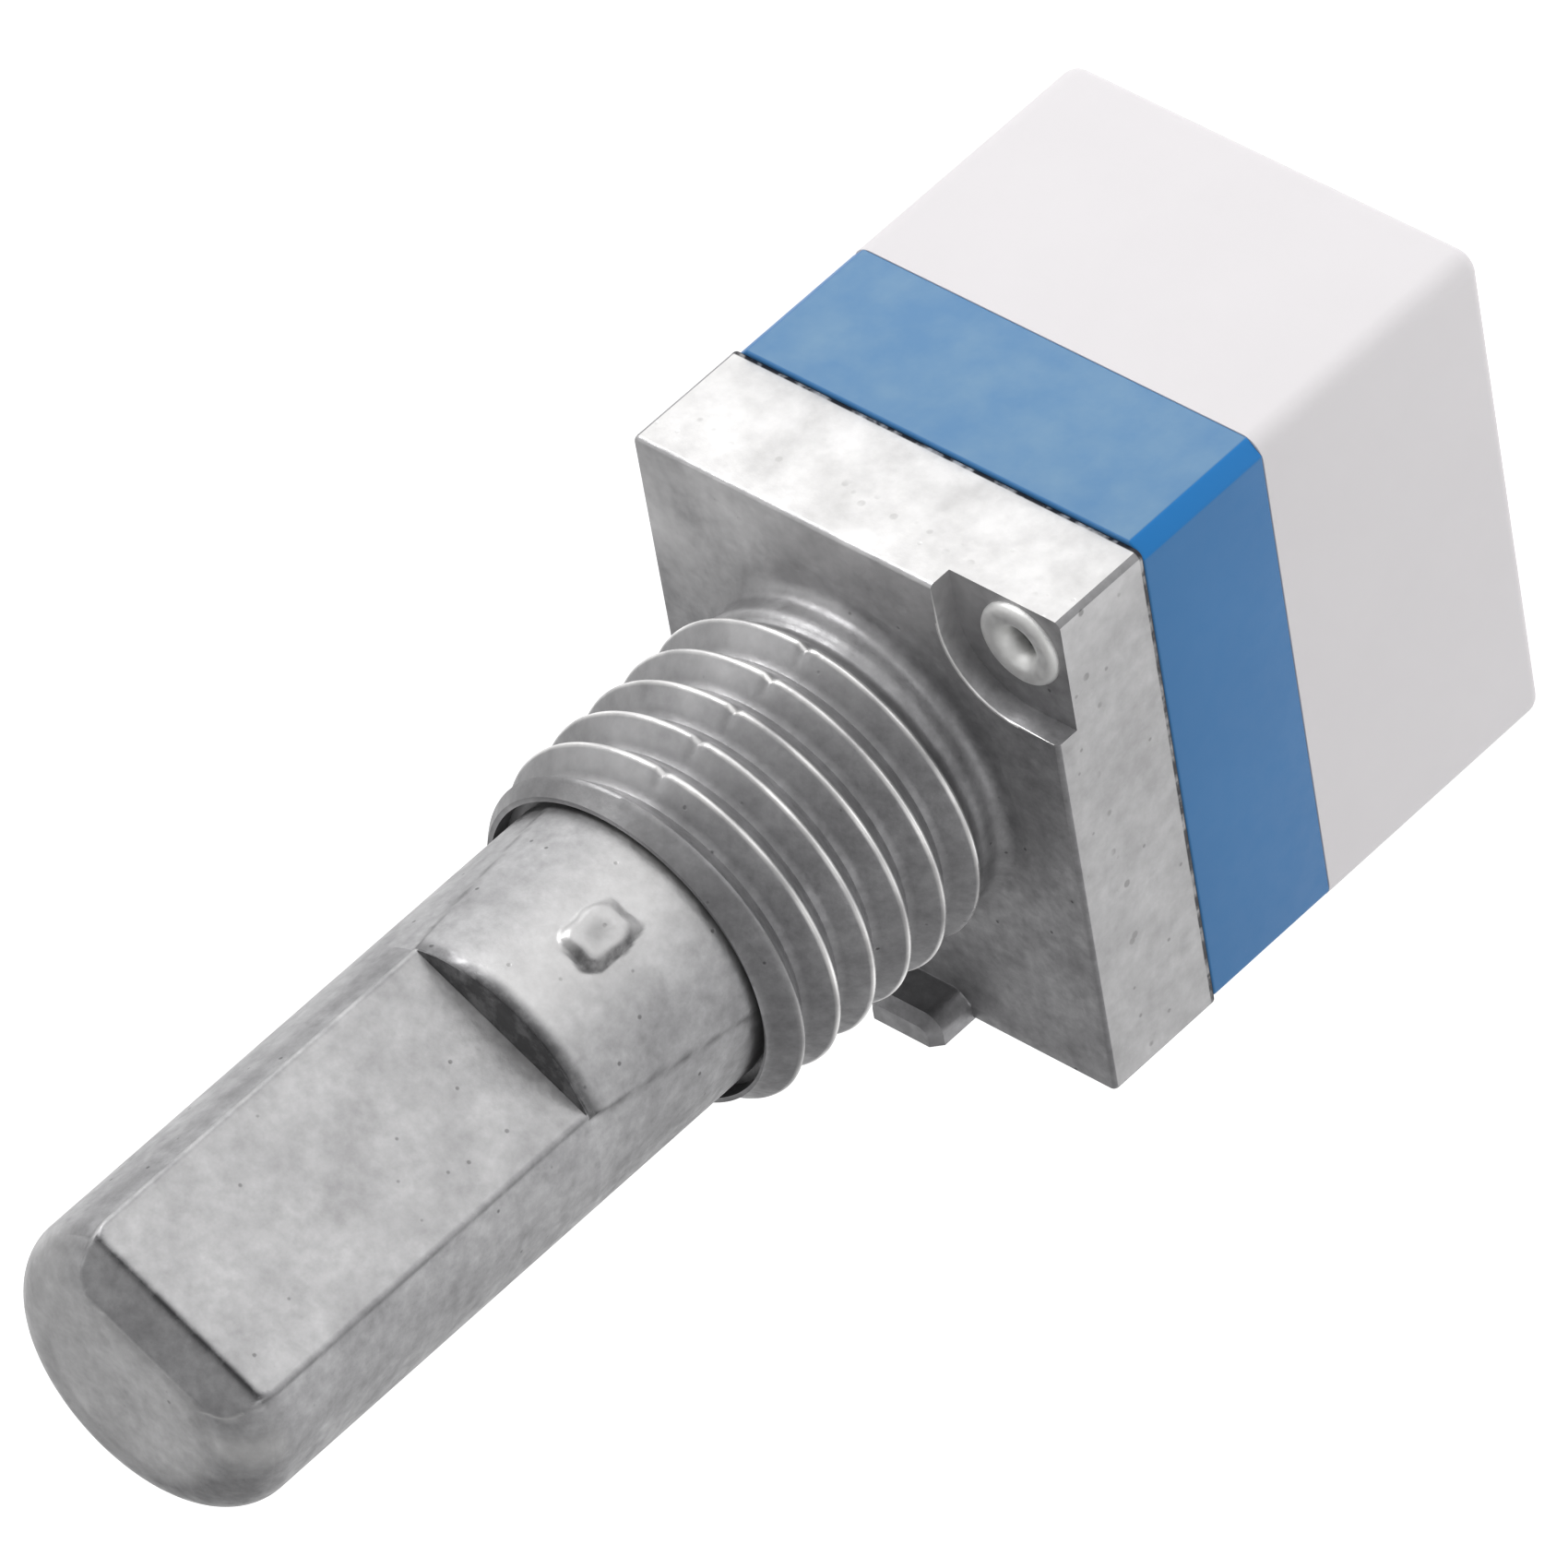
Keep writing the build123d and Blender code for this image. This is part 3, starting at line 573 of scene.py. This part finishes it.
def threaded_sleeve():
    """The bushing with thread, mouth and bore: one closed skin whose rows follow the thread."""
    count = 360
    turn = np.linspace(0, 2 * np.pi, count, endpoint=False)
    verts, faces = [], []

    def add_ring(radius, z):
        verts.extend(zip(radius * np.cos(turn), radius * np.sin(turn), z + 0 * turn))
        return len(verts) - count

    def join(low, high):
        """Quads between two rings."""
        for step in range(count):
            following = (step + 1) % count
            faces.append((low[step], low[following], high[following], high[step]))

    # rows along the thread: each rises by one pitch in a turn and is clipped to the bushing
    low_z, high_z = 0.0, BUSHING_TOP
    per_turn = len(THREAD_ROWS)
    first_turn = math.floor((low_z - THREAD_FIRST) / PITCH) - 2
    last_turn = math.ceil((high_z - THREAD_FIRST) / PITCH) + 2
    starts = []
    for thread_turn in range(first_turn, last_turn + 1):
        for phase in THREAD_ROWS:
            z = THREAD_FIRST + PITCH * (thread_turn + phase + (turn - THREAD_ANGLE) / (2 * np.pi))
            z = np.clip(z, low_z, high_z)
            starts.append(add_ring(bushing_radius(turn, z), z))
    for row in range(len(starts) - per_turn - 1):
        for step in range(count - 1):
            a, b = starts[row] + step, starts[row + 1] + step
            faces.append((a, a + 1, b + 1, b))
        a, b = starts[row] + count - 1, starts[row + 1] + count - 1
        faces.append((a, starts[row + per_turn], starts[row + 1 + per_turn], b))
    foot = np.arange(count) + add_ring(BUSHING_R + 0 * turn, SLEEVE_FOOT)
    base = np.arange(count) + add_ring(bushing_radius(turn, low_z + 0 * turn), low_z)
    join(foot, base)
    mouth_floor = BUSHING_TOP - MOUTH_DEPTH
    previous = np.arange(count) + add_ring(bushing_radius(turn, high_z + 0 * turn), high_z)
    inside = (
        (MOUTH_R, BUSHING_TOP), (MOUTH_R, mouth_floor),
        (BORE_R, mouth_floor), (BORE_R, SLEEVE_FOOT),
    )
    for radius, z in inside:
        following = np.arange(count) + add_ring(radius + 0 * turn, z)
        join(previous, following)
        previous = following
    join(previous, foot)
    sleeve = link_mesh("sleeve", verts, faces)
    work = bmesh.new()
    work.from_mesh(sleeve.data)
    bmesh.ops.remove_doubles(work, verts=work.verts, dist=ROW_SLIVER)
    bmesh.ops.dissolve_degenerate(work, edges=work.edges, dist=ROW_SLIVER)
    bmesh.ops.recalc_face_normals(work, faces=work.faces)
    loose = [v for v in work.verts if not v.link_faces]
    bmesh.ops.delete(work, geom=loose, context="VERTS")
    work.to_mesh(sleeve.data)
    work.free()
    return sleeve


def store_attribute(obj, values, name="wear_and_highlight", domain="POINT"):
    """Keeps one value per point, or per face corner, of the mesh."""
    layer = obj.data.attributes.new(name, "FLOAT", domain)
    layer.data.foreach_set("value", np.asarray(values, np.float32))


def wear_highlight_and_shade(plate, low, high):
    """Painted highlight on crests (partly wear), outer walls and recess rims; painted shade in
    roots, corners and seam: one value per face corner.
    """
    mesh = plate.data
    points = np.array([v.co for v in mesh.vertices])
    around, height = np.arctan2(points[:, 1], points[:, 0]), points[:, 2]
    reach = np.hypot(points[:, 0], points[:, 1])
    threaded = (reach > MOUTH_R + 0.05 * MM) & (reach < BUSHING_R + 0.1 * MM) & (height > 0)
    threaded = threaded * smoothstep(COLLAR_TOP, COLLAR_TOP + 0.5 * MM, height)
    threaded = threaded * (1 - smoothstep(THREAD_TOP - 0.1 * MM, THREAD_TOP + LEAD_IN, height))
    wave = thread_wave(around, height)
    patchy = 0.65 + 0.35 * np.sin(5 * around + 1.5 * height / PITCH) * np.sin(11 * around + 0.7)
    # painted highlight on the crests of the thread, partly real wear
    crest = CREST_HIGHLIGHT * smoothstep(0.91, 0.99, wave) * threaded * patchy
    # painted shade in the thread's roots and on the bushing's bare end
    root = ROOT_SHADE * (1 - smoothstep(0.0, 0.35, wave)) * threaded
    tip_band = smoothstep(THREAD_TOP - 0.15 * MM, THREAD_TOP + 0.1 * MM, height)
    tip_band = tip_band * (reach > MOUTH_R + 0.02 * MM)
    root = root + TIP_SHADE * tip_band * (0.75 + 0.25 * np.sin(4 * around))
    corner = np.array([loop.vertex_index for loop in mesh.loops])
    highlight_and_wear = crest[corner]
    painted_shade = root[corner]
    for face in mesh.polygons:
        centre, normal = face.center, face.normal
        inset = min(centre.x - low.x, high.x - centre.x, centre.y - low.y, high.y - centre.y)
        if inset > WALL_INSET or centre.z > 0:
            just_below = -0.06 * MM < centre.z < -0.001 * MM
            if just_below and 0.2 < normal.z < 0.97 and inset > 0.25 * MM:
                highlight_and_wear[face.loop_indices] = RIM_HIGHLIGHT          # painted highlight on the rims of the corner recesses
            continue
        if centre.z - low.z < SEAM_HEIGHT:                    # painted shadow in the seam against the blue case
            painted_shade[face.loop_indices] = 1.0
        # painted highlight on the outer walls, brighter on the +Y wall
        elif abs(normal.z) < 0.3 and max(abs(normal.x), abs(normal.y)) > 0.96:
            highlight_and_wear[face.loop_indices] = TOP_WALL_HIGHLIGHT if normal.y > 0.5 else SIDE_WALL_HIGHLIGHT
        elif abs(normal.z) < 0.3:                             # painted shade in the upright corners
            painted_shade[face.loop_indices] = CORNER_SHADE
    store_attribute(plate, highlight_and_wear, "wear_and_highlight", "CORNER")
    store_attribute(plate, painted_shade, "painted_shade", "CORNER")


def front_casting():
    """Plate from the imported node, its plain bushing exchanged for the threaded one."""
    plate = node_copy("front_housing", "front_casting")
    low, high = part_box("front_housing")

    def eased(edge):
        """Rims of the corner recesses on the front face, and the outline of the back."""
        a, b = edge.verts[0].co, edge.verts[1].co
        on_front = abs(a.z) < EASE_REACH and abs(b.z) < EASE_REACH
        clear = min(math.hypot(a.x, a.y), math.hypot(b.x, b.y)) > BUSHING_R + 0.2 * MM
        middle = (a + b) / 2
        inset = min(middle.x - low.x, high.x - middle.x, middle.y - low.y, high.y - middle.y)
        on_back = abs(middle.z - low.z) < EASE_REACH and inset < OUTLINE_INSET
        return (on_front and clear and inset > OUTLINE_INSET) or on_back

    cutter = cylinder("bushing_cutter", BUSHING_R + 0.15 * MM, 0.0, BUSHING_TOP + 1 * MM)
    boolean(plate, cutter, "DIFFERENCE")
    boolean(plate, threaded_sleeve(), "UNION")
    weld(plate)
    soften_edges(plate, PLATE_EASE, eased, segments=2, clamp=False)
    wear_highlight_and_shade(plate, low, high)
    dress(plate, ZINC_PLATE)
    smooth(plate, 40)
    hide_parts("front_housing")
    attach(plate, "case")


# ---- rivets ----------------------------------------------------------------------------
def corner_rivets():
    """Two tubular rivets with rolled heads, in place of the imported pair."""
    low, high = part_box("wafer_case")
    foot_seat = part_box("switch_case")[0].z + RIVET_FOOT_SINK
    foot = foot_seat - RIVET_FOOT_HEIGHT
    profile = [(RIVET_BORE_R, foot), (RIVET_FOOT_R, foot), (RIVET_FOOT_R, foot_seat)]
    profile += [(RIVET_SHANK_R, foot_seat), (RIVET_SHANK_R, RIVET_SEAT)]
    profile += [(radius * MM, RIVET_SEAT + height * MM) for radius, height in RIVET_HEAD]
    turn = np.linspace(0, 2 * np.pi, 64, endpoint=False)
    centres = (
        (low.x + RIVET_INSET, low.y + RIVET_INSET),
        (high.x - RIVET_INSET, high.y - RIVET_INSET),
    )
    pair = []
    for x, y in centres:
        pair.append(ring_mesh("rivet", [circle(turn, radius, z, x, y) for radius, z in profile]))
    verts, faces = [], []
    for rivet in pair:
        first = len(verts)
        verts += [tuple(v.co) for v in rivet.data.vertices]
        faces += [tuple(first + i for i in f.vertices) for f in rivet.data.polygons]
        bpy.data.objects.remove(rivet)
    rivets = link_mesh("rolled_rivets", verts, faces)
    dress(rivets, RIVET)
    smooth(rivets, 45)
    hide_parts("corner_rivets")
    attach(rivets, "case")


# ---- D-cut shaft -----------------------------------------------------------------------
def shaft_angles():
    """Angles round the shaft, closer together across the mark and at the flat's edges."""
    half_flat = math.acos(FLAT_HEIGHT / SHAFT_R)
    steps = np.concatenate([
        np.arange(-0.2, 0.2, 0.0135),
        np.arange(0.2, half_flat - 0.08, 0.04),
        np.arange(half_flat - 0.08, half_flat + 0.08, 0.012),
        np.arange(half_flat + 0.08, np.pi, 0.045),
    ])
    mirrored = -steps[steps > 0.2]
    return np.sort(np.unique(np.round(np.concatenate([steps, mirrored]), 5)))


def shaft_profile(z):
    """Radius of the shaft above its shoulder: straight, then a quarter ellipse to the end disc."""
    rise = np.clip((z - (SHAFT_TIP - NOSE_LENGTH)) / NOSE_LENGTH, 0, 1)
    return DISC_R + (SHAFT_R - DISC_R) * np.sqrt(1 - rise**2)


def flat_distance(z):
    """Distance of the cut plane from the axis; far outside below the flat."""
    bevel_start = SHAFT_TIP - BEVEL_LENGTH
    height = FLAT_HEIGHT - BEVEL_DEPTH * np.clip((z - bevel_start) / BEVEL_LENGTH, 0, 1)
    above = smoothstep(FLAT_START - 0.005 * MM, FLAT_START + 0.03 * MM, z)
    return height + (1 - above) * SHAFT_R


def mark_relief(across, along):
    """Height and painted shade of the plain raised gate mark: a soft-edged boss with a dished top.
    """
    x, z = across / MM, along / MM
    wide = np.abs(across - MARK_SHIFT) / MARK_HALF_WIDTH
    long = np.abs(along) / MARK_HALF_LENGTH
    reach = (wide**3 + long**3) ** (1 / 3)
    reach = reach * (1 + 0.05 * np.sin(9 * x + 1) + 0.04 * np.sin(11 * z))
    boss = 1 - smoothstep(0.62, 1.0, reach)
    dish = 1 - smoothstep(0.1, 0.55, reach)
    # painted shade in the dish and on the walls that face the tip and the flat's lower edge, away
    # from the light
    wall = smoothstep(0.5, 0.74, reach) * (1 - smoothstep(1.0, 1.1, reach))
    wall = wall * smoothstep(-0.1, 0.25, 0.4 * z - x)
    return boss * (1 - 0.45 * dish), np.clip(0.85 * wall + 0.3 * boss * dish, 0, 1)


def ridge(value, centre, width):
    """1 at the centre, falling off over the width."""
    return np.exp(-(((value - centre) / width) ** 2))


def shaft_highlight_and_shade(offsets, z, half_flat, land_edge, plane, skin):
    """Painted highlight and painted shade of the shaft's skin at one height."""
    behind = 1 - smoothstep(FLAT_START - STEP_ROUND, FLAT_START, z)
    ahead = float(FLAT_START < z < SHAFT_TIP - BEVEL_LENGTH)
    nose = smoothstep(SHAFT_TIP - NOSE_LENGTH, SHAFT_TIP - 0.6 * NOSE_LENGTH, z)
    cut = skin > plane
    broken = 0.5 + 0.5 * np.sin(9 * z / MM) * np.sin(4.1 * z / MM + 1)
    front = 1 - smoothstep(2.1, 2.9, np.abs(offsets))     # the shaft's back keeps its plain skin
    over_flat = np.abs(offsets) < half_flat
    # painted highlights: around the mark, along the flat's upper edge, on the nose and along the
    # bevel's edge
    highlight_and_wear = MARK_SKIN_HIGHLIGHT * ridge(offsets, 0.08, 0.42) * behind
    highlight_and_wear = highlight_and_wear + 0.26 * broken * ridge(offsets, half_flat + 0.01, 0.015) * ahead
    upper_nose = 0.16 * smoothstep(0.6, 1.3, offsets) * front
    highlight_and_wear = highlight_and_wear + nose * ~cut * (0.3 * ridge(offsets, -1.15, 0.14) + upper_nose)
    near_tip = z > SHAFT_TIP - 0.55 * BEVEL_LENGTH
    highlight_and_wear = highlight_and_wear + 0.3 * ridge(skin, plane, 0.03 * MM) * near_tip * (offsets < 0)
    # painted shade: the step's foot, the lands, the lower side and the flat's edges
    shade_level = 0.9 * (abs(z - FLAT_START) < 0.04 * MM) * over_flat
    shade_level = shade_level + 0.5 * ridge(np.abs(offsets), land_edge + 0.015, 0.02) * (z < FLAT_START)
    shade_level = shade_level + 0.22 * smoothstep(0.25, 0.75, -offsets) * behind * front
    shade_level = shade_level + 0.3 * smoothstep(0.95, 1.6, -offsets) * front
    shade_level = shade_level + 0.35 * ridge(offsets, half_flat + 0.14, 0.11) * ahead
    shade_level = shade_level + 0.5 * ridge(offsets, -half_flat - 0.02, 0.018) * ahead
    shade_level = shade_level + 0.1 * smoothstep(half_flat, half_flat + 0.4, -offsets) * ahead * front
    # and the bevel with its upper edge, the lower nose and the eased edge above the step
    shade_level = shade_level + 0.95 * ridge(z, SHAFT_TIP - BEVEL_LENGTH, 0.07 * MM) * over_flat
    shade_level = shade_level + 0.16 * cut * (z > SHAFT_TIP - BEVEL_LENGTH)
    shade_level = shade_level + 0.16 * nose * ~cut * smoothstep(1.2, 1.9, -offsets) * front
    above_step = smoothstep(FLAT_START - 0.36 * MM, FLAT_START - 0.1 * MM, z) * (z < FLAT_START)
    return highlight_and_wear, shade_level + 0.8 * above_step * (np.abs(offsets) < half_flat + 0.04)


def knob_shaft():
    """The shaft above its neck, with rounded edges, parting lands and its moulding mark."""
    offsets = shaft_angles()
    turn = offsets + FLAT_ANGLE
    half_flat = math.acos(FLAT_HEIGHT / SHAFT_R)
    shoulder = BUSHING_TOP - MOUTH_DEPTH + SHOULDER_GAP
    levels = np.unique(np.round(np.concatenate([
        np.arange(shoulder + 0.1 * MM, MARK_Z - MARK_REACH, 0.25 * MM),
        np.arange(MARK_Z - MARK_REACH, MARK_Z + MARK_REACH, 0.04 * MM),
        np.arange(MARK_Z + 0.9 * MM, FLAT_START - STEP_ROUND - 0.05 * MM, 0.2 * MM),
        np.linspace(FLAT_START - STEP_ROUND, FLAT_START - 0.06 * MM, 8),
        np.linspace(FLAT_START - 0.05 * MM, FLAT_START + 0.06 * MM, 12),
        np.arange(FLAT_START + 0.25 * MM, SHAFT_TIP - NOSE_LENGTH, 0.35 * MM),
        np.linspace(SHAFT_TIP - NOSE_LENGTH, SHAFT_TIP - DISC_RISE, 34),
    ]), 8))
    rings, wear_and_highlight, painted_shade = [], [], []

    def add(radius, z, highlight_and_wear=0.0, shade_level=0.0):
        rings.append(circle(turn, radius, z))
        wear_and_highlight.append(np.broadcast_to(highlight_and_wear, len(turn)))
        painted_shade.append(np.broadcast_to(shade_level, len(turn)))

    add(NECK_R, shoulder - NECK_DRAWN)
    add(NECK_R, shoulder)
    add(SHAFT_R - SHOULDER_BREAK, shoulder)
    for z in levels:
        radius = shaft_profile(z) + 0 * turn
        below = np.clip((FLAT_START - z) / MM, 0, None)
        land_edge = half_flat + 0.02 + math.radians(LAND_LEAN) * below
        radius = radius - LAND_DROP * smoothstep(land_edge, land_edge + 0.03, np.abs(offsets))
        into_round = np.clip((z - FLAT_START + STEP_ROUND) / STEP_ROUND, 0, 1)
        eased = STEP_ROUND * (1 - np.sqrt(1 - (0.98 * into_round) ** 2)) * 0.55
        eased = eased * smoothstep(0, 0.3, half_flat - np.abs(offsets))
        radius = radius - eased * (z <= FLAT_START)
        plane = flat_distance(z) / np.cos(np.clip(offsets, -1.45, 1.45))
        # painted highlight on the flat
        on_flat = FLAT_HIGHLIGHT * (radius > plane + EDGE_SOFTNESS) * (z < SHAFT_TIP - BEVEL_LENGTH)
        radius = soft_min(radius, plane, EDGE_SOFTNESS)
        # painted shade on the mark, painted highlight and painted shade on the skin
        height, shade_level = mark_relief(offsets * SHAFT_R, z - MARK_Z)
        highlight_and_wear, extra_shade = shaft_highlight_and_shade(offsets, z, half_flat, land_edge, plane, shaft_profile(z))
        add(radius + MARK_HEIGHT * height, z, on_flat + highlight_and_wear, np.clip(shade_level + extra_shade, 0, 1))
    edge = np.minimum(DISC_R, flat_distance(SHAFT_TIP) / np.cos(np.clip(offsets, -1.45, 1.45)))
    top = soft_min(edge, np.hypot(rings[-1][:, 0], rings[-1][:, 1]), 0.02 * MM)
    # painted highlight on the end disc
    for share, drop in DISC_RINGS:
        add(top * share, SHAFT_TIP - drop * MM, DISC_HIGHLIGHT)
    shaft = ring_mesh("knob_shaft", rings, closed_ends=True)
    store_attribute(shaft, np.concatenate([*wear_and_highlight, [0, 0]]))
    store_attribute(shaft, np.concatenate([*painted_shade, [0, 0]]), "painted_shade")
    dress(shaft, ZINC_SHAFT)
    smooth(shaft, 50)
    return shaft


def shaft_dressed():
    """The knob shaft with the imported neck, groove and tang below it."""
    shaft = knob_shaft()
    lower = node_copy("shaft", "shaft_lower")
    shoulder = BUSHING_TOP - MOUTH_DEPTH
    cutter = cylinder("shaft_cutter", SHAFT_R + 1 * MM, shoulder - 0.5 * MM, SHAFT_TIP + 1 * MM)
    boolean(lower, cutter, "DIFFERENCE")
    for name in ("wear_and_highlight", "painted_shade"):
        store_attribute(lower, np.zeros(len(lower.data.vertices)), name)
    boolean(shaft, lower, "UNION")
    smooth(shaft, 50)
    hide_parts("shaft")
    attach(shaft, "spindle")


# ---- moulded cases ---------------------------------------------------------------------
def soft_case(node, name, material):
    """A case with its outer edges eased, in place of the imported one."""
    low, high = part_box(node)
    case = node_copy(node, name)

    def on_outline(edge):
        middle = (edge.verts[0].co + edge.verts[1].co) / 2
        near_x = min(abs(middle.x - low.x), abs(middle.x - high.x)) < CASE_EDGE_INSET
        near_y = min(abs(middle.y - low.y), abs(middle.y - high.y)) < CASE_EDGE_INSET
        return near_x or near_y

    soften_edges(case, CASE_EASE, on_outline)
    dress(case, material)
    smooth(case, 35)
    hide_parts(node)
    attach(case, "case")


# ---- studio ----------------------------------------------------------------------------
TARGET = Vector((-0.71, -0.29, 1.22)) * MM
VIEW_DIRECTION = Vector((0.5502, 0.6797, 0.4851)).normalized()
VIEW_DISTANCE = 315.23 * MM
VIEW_RIGHT = Vector((0.7424, -0.1323, -0.6568))
LENS = 415.95
SENSOR_WIDTH = 36
LIGHT_DISTANCE = 0.25             # of every light from the object, in metres
LIGHT_SIZE = 0.14
LIGHTS = (                        # name, direction from the object, and power in watts
    ("key", (-0.5, 0.85, 0.05), 0.41),
    ("key_fill", (0.5, 0.85, 0.1), 0.07),
    ("side", (0.9, -0.1, 0.5), 0.06),
    ("tip", (-0.6, 0.2, 0.8), 0.05),
    ("back_fill", (-0.55, -0.68, 0.485), 0.02),
)
SKY_STRENGTH = 0.515
FLOOR_GREY = 0.9
FLOOR_ROUGHNESS = 0.9
FLOOR_GLOW = 0.54
FLOOR_REACH = 1.5                 # half the floor's width, in metres
FLOOR_GAP = 0.02 * MM             # between the pins' tips and the floor


def camera():
    """A long lens before the shaft's tip, rolled so that the shaft runs down to the left."""
    data = bpy.data.cameras.new("camera")
    data.lens = LENS
    data.sensor_width = SENSOR_WIDTH
    data.clip_start = 0.01
    data.clip_end = 10
    obj = bpy.data.objects.new("camera", data)
    bpy.context.scene.collection.objects.link(obj)
    up = VIEW_DIRECTION.cross(VIEW_RIGHT).normalized()
    right = up.cross(VIEW_DIRECTION)
    turn = Matrix((right, up, VIEW_DIRECTION)).transposed().to_4x4()
    obj.matrix_world = Matrix.Translation(TARGET + VIEW_DIRECTION * VIEW_DISTANCE) @ turn
    bpy.context.scene.camera = obj


def area_light(name, direction, power):
    """A square soft box that faces the object."""
    data = bpy.data.lights.new(name, "AREA")
    data.size = LIGHT_SIZE
    data.energy = power
    obj = bpy.data.objects.new(name, data)
    bpy.context.scene.collection.objects.link(obj)
    away = Vector(direction).normalized()
    obj.location = away * LIGHT_DISTANCE
    obj.rotation_mode = "QUATERNION"
    obj.rotation_quaternion = (-away).to_track_quat("-Z", "Y")


def studio():
    """Pale floor, white surroundings and soft boxes."""
    floor_z = cad_box[0].z - FLOOR_GAP
    corners = ((-1, -1), (1, -1), (1, 1), (-1, 1))
    points = [(FLOOR_REACH * x, FLOOR_REACH * y, floor_z) for x, y in corners]
    floor = link_mesh("floor", points, [(0, 1, 2, 3)])
    paper = bpy.data.materials.new("floor_paper")
    paper.use_nodes = True
    surface = paper.node_tree.nodes["Principled BSDF"]
    surface.inputs["Base Color"].default_value = (FLOOR_GREY, FLOOR_GREY, FLOOR_GREY, 1)
    surface.inputs["Roughness"].default_value = FLOOR_ROUGHNESS
    surface.inputs["Emission Color"].default_value = (1, 1, 1, 1)
    surface.inputs["Emission Strength"].default_value = FLOOR_GLOW
    dress(floor, paper)
    world = bpy.data.worlds.new("studio")
    world.use_nodes = True
    background = world.node_tree.nodes["Background"]
    background.inputs["Color"].default_value = (1, 1, 1, 1)
    background.inputs["Strength"].default_value = SKY_STRENGTH
    bpy.context.scene.world = world
    for name, direction, power in LIGHTS:
        area_light(name, direction, power)
    bpy.context.scene.view_settings.view_transform = "Standard"


dress_nodes()
front_casting()
corner_rivets()
shaft_dressed()
soft_case("wafer_case", "blue_wafer", BLUE)
soft_case("switch_case", "white_case", WHITE)
camera()
studio()
